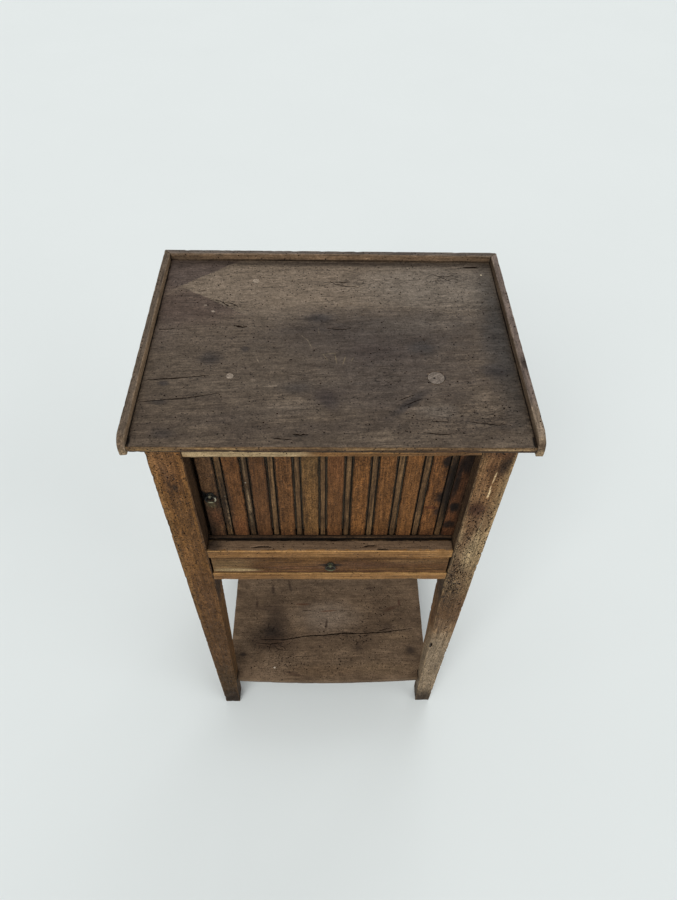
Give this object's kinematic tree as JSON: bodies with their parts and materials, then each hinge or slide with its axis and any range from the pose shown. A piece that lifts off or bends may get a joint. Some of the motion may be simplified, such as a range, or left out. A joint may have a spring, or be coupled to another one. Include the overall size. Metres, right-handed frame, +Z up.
{
  "type": "bedside cabinet",
  "caption": "Tall rustic bedside cabinet in worn wood with a raised lip round the top, a sliding slatted curtain, a drawer, tapered legs and a low shelf.",
  "frame": {"origin": "on the floor under the middle of the cabinet's overall width and depth", "axes": "+Z up, front towards -Y, +X to the right of someone facing the front"},
  "size_m": [0.418, 0.314, 0.765],
  "materials": {
    "top_wood": "dark grey-brown worn waxed wood",
    "gallery_wood": "grey-brown worn waxed wood",
    "leg_wood": "ochre-brown worn wood with worm holes",
    "rail_wood": "ochre-brown worn wood",
    "case_wood": "mid-brown dry wood",
    "inner_wood": "raw pale brown wood",
    "shelf_wood": "grey-brown worn wood",
    "drawer_wood": "grey-brown waxed wood, ochre at the edges",
    "slat_wood": "mid-brown waxed wood",
    "bead_wood": "grey-brown waxed wood",
    "canvas_cloth": "old linen canvas, glued",
    "nail_iron": "dark oxidised iron",
    "pull_metal": "dark greenish patinated brass",
    "plug_wood": "end-grain wood"
  },
  "bodies": {
    "case": {"top_board": "top_wood", "gallery_left": "gallery_wood", "gallery_right": "gallery_wood", "gallery_back": "gallery_wood", "leg_front_left": "leg_wood", "leg_front_right": "leg_wood", "leg_back_left": "leg_wood", "leg_back_right": "leg_wood", "front_top_rail": "rail_wood", "divider_rail": "rail_wood", "bottom_rail": "rail_wood", "back_rail": "case_wood", "head_board": "inner_wood", "floor_board": "case_wood", "side_panel_left": "case_wood", "side_panel_right": "case_wood", "back_board_upper": "case_wood", "back_board_lower": "case_wood", "drawer_runner_left": "inner_wood", "drawer_runner_right": "inner_wood", "drawer_guide_left": "inner_wood", "drawer_guide_right": "inner_wood", "lower_shelf": "shelf_wood", "gallery_nails": "nail_iron", "top_plugs": "plug_wood", "back_nails": "nail_iron", "shelf_dowels": "plug_wood"},
    "drawer": {"drawer_front": "drawer_wood", "drawer_side_left": "inner_wood", "drawer_side_right": "inner_wood", "drawer_back": "inner_wood", "drawer_bottom": "inner_wood", "drawer_stud": "pull_metal"},
    "drawer_ring": {"drawer_ring": "pull_metal"},
    "curtain_front": {"slat_1": "slat_wood", "slat_2": "slat_wood", "slat_3": "slat_wood", "slat_4": "slat_wood", "slat_5": "slat_wood", "slat_6": "slat_wood", "lead_beads": "bead_wood", "canvas_lead": "canvas_cloth", "curtain_stud": "pull_metal"},
    "curtain_ring": {"curtain_ring": "pull_metal"},
    "curtain_corner_first": {"corner_bead_first": "bead_wood", "canvas_corner_first": "canvas_cloth"},
    "curtain_corner_middle": {"slat_7": "slat_wood", "canvas_corner_middle": "canvas_cloth"},
    "curtain_corner_last": {"corner_bead_last": "bead_wood", "canvas_corner_last": "canvas_cloth"},
    "curtain_tail": {"slat_8": "slat_wood", "slat_9": "slat_wood", "slat_10": "slat_wood", "slat_11": "slat_wood", "tail_beads": "bead_wood", "canvas_tail": "canvas_cloth"}
  },
  "joints": [
    {"name": "drawer_slide", "type": "slide", "parent": "case", "child": "drawer", "axis": [0, -1, 0], "range_m": [0, 0.2]},
    {"name": "drawer_ring_swing", "type": "hinge", "parent": "drawer", "child": "drawer_ring", "pos_m": [0, -0.1476, 0.509], "axis": [-1, 0, 0], "range_deg": [-8, 160]},
    {"name": "curtain_slide", "type": "slide", "parent": "case", "child": "curtain_front", "axis": [1, 0, 0], "range_m": [0, 0.104]},
    {"name": "curtain_ring_swing", "type": "hinge", "parent": "curtain_front", "child": "curtain_ring", "pos_m": [-0.13828, -0.1282, 0.6334], "axis": [-1, 0, 0], "range_deg": [-8, 160]},
    {"name": "curtain_bend_1", "type": "hinge", "parent": "curtain_front", "child": "curtain_corner_first", "pos_m": [0.01442, -0.1193, 0.6394], "axis": [0, 0, 1], "range_deg": [0, 22.5]},
    {"name": "curtain_bend_2", "type": "hinge", "parent": "curtain_corner_first", "child": "curtain_corner_middle", "pos_m": [0.02292, -0.1193, 0.6394], "axis": [0, 0, 1], "range_deg": [0, 22.5]},
    {"name": "curtain_bend_3", "type": "hinge", "parent": "curtain_corner_middle", "child": "curtain_corner_last", "pos_m": [0.04295, -0.1193, 0.6394], "axis": [0, 0, 1], "range_deg": [0, 22.5]},
    {"name": "curtain_bend_4", "type": "hinge", "parent": "curtain_corner_last", "child": "curtain_tail", "pos_m": [0.05145, -0.1193, 0.6394], "axis": [0, 0, 1], "range_deg": [0, 22.5]}
  ],
  "couplings": [
    {"joint": "curtain_bend_1", "follows": "curtain_slide", "rad_per_m": 3.7759},
    {"joint": "curtain_bend_2", "follows": "curtain_slide", "rad_per_m": 3.7759},
    {"joint": "curtain_bend_3", "follows": "curtain_slide", "rad_per_m": 3.7759},
    {"joint": "curtain_bend_4", "follows": "curtain_slide", "rad_per_m": 3.7759}
  ]
}
